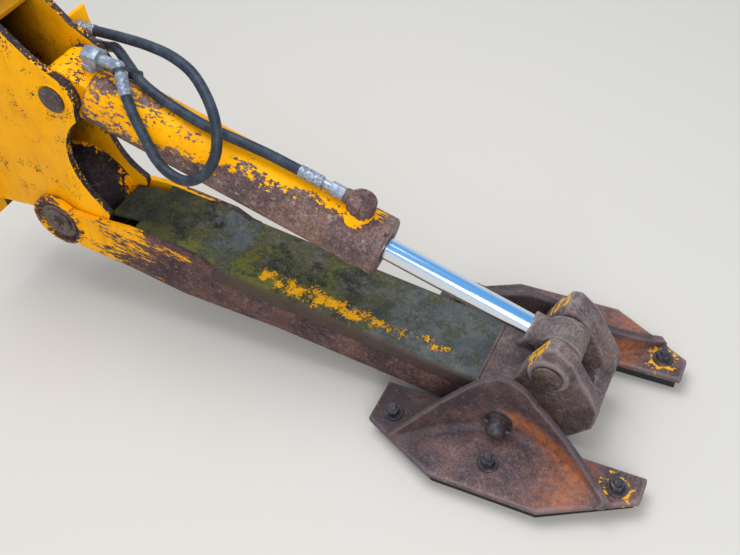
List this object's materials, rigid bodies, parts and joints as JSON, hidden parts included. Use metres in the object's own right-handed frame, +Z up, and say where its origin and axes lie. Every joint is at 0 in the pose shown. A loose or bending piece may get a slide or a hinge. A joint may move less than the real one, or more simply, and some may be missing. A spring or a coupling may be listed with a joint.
{
  "type": "backhoe stabiliser leg",
  "caption": "Stabiliser leg of a backhoe loader: bracket, swinging leg, hydraulic cylinder with hoses, and pivoting shoes.",
  "frame": {"origin": "middle of the weld face at the bracket's inboard end", "axes": "+X outwards from the machine along the leg, +Y towards the machine's front, +Z up"},
  "size_m": [1.5592, 0.528, 0.7578],
  "materials": {
    "yellow_paint": "construction yellow enamel, chipped",
    "worn_yellow_paint": "yellow enamel worn through to rust",
    "worn_leg_paint": "paint worn off, brown rust",
    "mossy_leg_paint": "dark dirty plate with a film of moss",
    "rusty_casting": "rusted forging",
    "rusty_steel": "rusted steel",
    "dark_steel": "oily dark steel",
    "chrome_rod": "hard chrome plate",
    "shoe_rubber": "laminated rubber",
    "zinc_steel": "zinc plated fittings, dulled",
    "hose_rubber": "hydraulic hose cover"
  },
  "bodies": {
    "bracket": {"weld_plate": "yellow_paint", "bracket_plate_near": "yellow_paint", "bracket_plate_far": "yellow_paint", "nose_plate": "dark_steel", "bracket_top_plate": "yellow_paint", "leg_pin": "rusty_steel", "base_pin": "dark_steel", "hose_tab": "yellow_paint", "tab_unions": "zinc_steel", "tab_ferrules": "zinc_steel"},
    "leg": {"leg_side_near": "worn_leg_paint", "leg_side_far": "worn_leg_paint", "leg_top": "mossy_leg_paint", "leg_bottom": "worn_leg_paint", "tip_casting": "rusty_casting", "rod_pin_near": "dark_steel", "rod_pin_far": "dark_steel"},
    "barrel": {"base_lug": "yellow_paint", "barrel": "worn_yellow_paint", "gland_nut": "rusty_steel", "gland_port": "worn_yellow_paint", "base_elbow": "zinc_steel", "base_ferrule": "zinc_steel", "gland_fitting": "zinc_steel", "gland_ferrule": "zinc_steel", "base_hose": "hose_rubber", "gland_hose": "hose_rubber"},
    "rod": {"rod": "chrome_rod", "rod_eye": "rusty_casting", "rod_bush": "dark_steel"},
    "shoes": {"shoe_near": "rusty_casting", "shoe_far": "rusty_casting", "foot_pin": "dark_steel", "rubber_near": "shoe_rubber", "rubber_far": "shoe_rubber", "studs_near": "dark_steel", "studs_far": "dark_steel"}
  },
  "joints": [
    {"name": "leg_swing", "type": "hinge", "parent": "bracket", "child": "leg", "pos_m": [0.215, 0, -0.24], "axis": [0, -1, 0], "range_deg": [-8, 50]},
    {"name": "cylinder_swing", "type": "hinge", "parent": "bracket", "child": "barrel", "pos_m": [0.334, 0, 0.102], "axis": [0, -1, 0], "range_deg": [-9.2, 57], "deforming": ["base_hose", "gland_hose"]},
    {"name": "rod_slide", "type": "slide", "parent": "barrel", "child": "rod", "axis": [0.938, 0, -0.3465], "range_m": [-0.278, 0.045]},
    {"name": "shoe_pivot", "type": "hinge", "parent": "leg", "child": "shoes", "pos_m": [1.27025, 0, -0.40576], "axis": [0, 1, 0], "range_deg": [-50, 90]}
  ],
  "couplings": [
    {"joint": "cylinder_swing", "follows": "leg_swing", "ratio": 1.135},
    {"joint": "rod_slide", "follows": "leg_swing", "m_per_rad": -0.3175}
  ]
}
